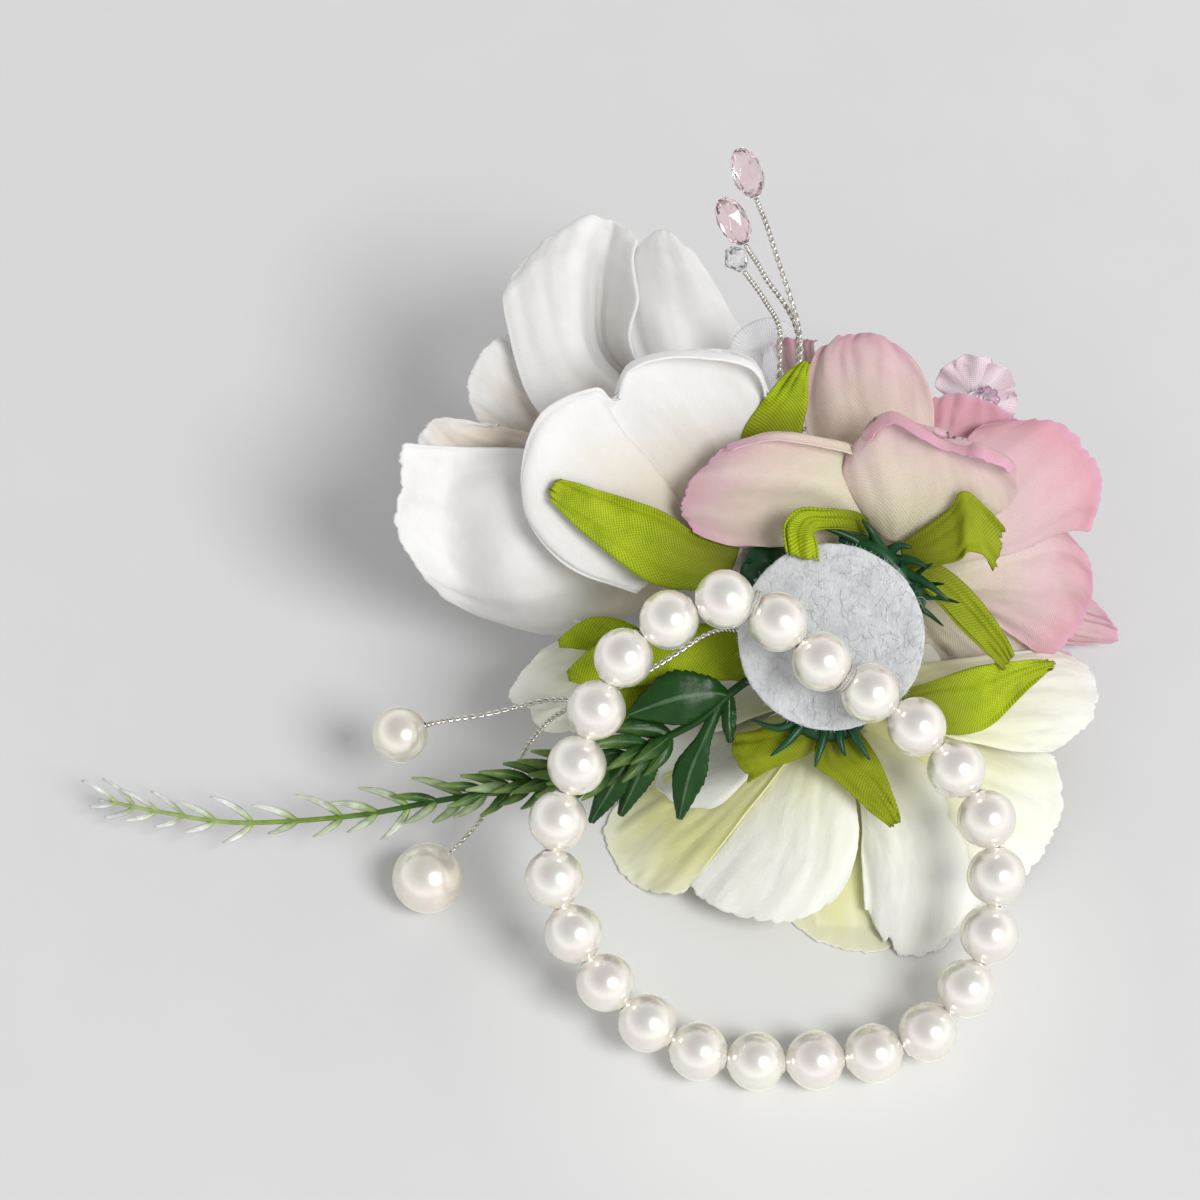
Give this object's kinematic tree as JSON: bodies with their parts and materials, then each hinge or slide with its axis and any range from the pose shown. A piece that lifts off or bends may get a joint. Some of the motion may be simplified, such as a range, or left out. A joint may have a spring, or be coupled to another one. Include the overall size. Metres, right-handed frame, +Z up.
{
  "type": "wrist corsage",
  "caption": "Wrist corsage: silk blooms, leaves, a sprig and wire sprays behind a felt disc that is tied to a stretch bracelet of pearls.",
  "frame": {"origin": "on the table, under the middle of the corsage's box", "axes": "+Z up from the table, +Y from the front of the bracelet to the blooms behind, +X to the right; the corsage is longest along X"},
  "size_m": [0.1468, 0.1242, 0.0603],
  "materials": {
    "pearl": "pearly",
    "clear_elastic": "clear",
    "felt": "matt felt",
    "white_silk": "matt cloth",
    "pink_silk": "matt cloth",
    "cream_silk": "matt cloth",
    "glue": "hot glue",
    "thread": "thread",
    "leaf_silk": "woven cloth",
    "calyx_green": "moulded",
    "sprig_green": "moulded, pale towards the tip",
    "silver_wire": "twisted wire",
    "spray_pearl": "pearly",
    "rose_crystal": "faceted",
    "clear_crystal": "faceted",
    "pale_organza": "sheer",
    "organza": "sheer"
  },
  "bodies": {
    "root": {"blossom": "pale_organza", "bud_sepals": "leaf_silk", "clear_crystal": "clear_crystal", "cream_bloom": "cream_silk", "cream_bud": "cream_silk", "cream_calyx": "calyx_green", "cream_sepals": "leaf_silk", "crystal_spray_wire": "silver_wire", "elastic_cord": "clear_elastic", "felt_disc": "felt", "glue_pad": "glue", "greenery_sprig": "sprig_green", "pearl_01": "pearl", "pearl_02": "pearl", "pearl_03": "pearl", "pearl_04": "pearl", "pearl_05": "pearl", "pearl_06": "pearl", "pearl_07": "pearl", "pearl_08": "pearl", "pearl_09": "pearl", "pearl_10": "pearl", "pearl_11": "pearl", "pearl_12": "pearl", "pearl_13": "pearl", "pearl_14": "pearl", "pearl_15": "pearl", "pearl_16": "pearl", "pearl_17": "pearl", "pearl_18": "pearl", "pearl_19": "pearl", "pearl_20": "pearl", "pearl_21": "pearl", "pearl_22": "pearl", "pearl_23": "pearl", "pearl_24": "pearl", "pearl_spray_wire": "silver_wire", "pink_bloom": "pink_silk", "pink_calyx": "calyx_green", "pink_crystal_1": "rose_crystal", "pink_crystal_2": "rose_crystal", "pink_sepals": "leaf_silk", "ribbon_loop": "organza", "spray_pearl_large": "spray_pearl", "spray_pearl_small": "spray_pearl", "thread_stitch_1": "thread", "thread_stitch_2": "thread", "white_bloom": "white_silk", "white_calyx": "calyx_green", "white_sepals": "leaf_silk"}
  },
  "joints": []
}
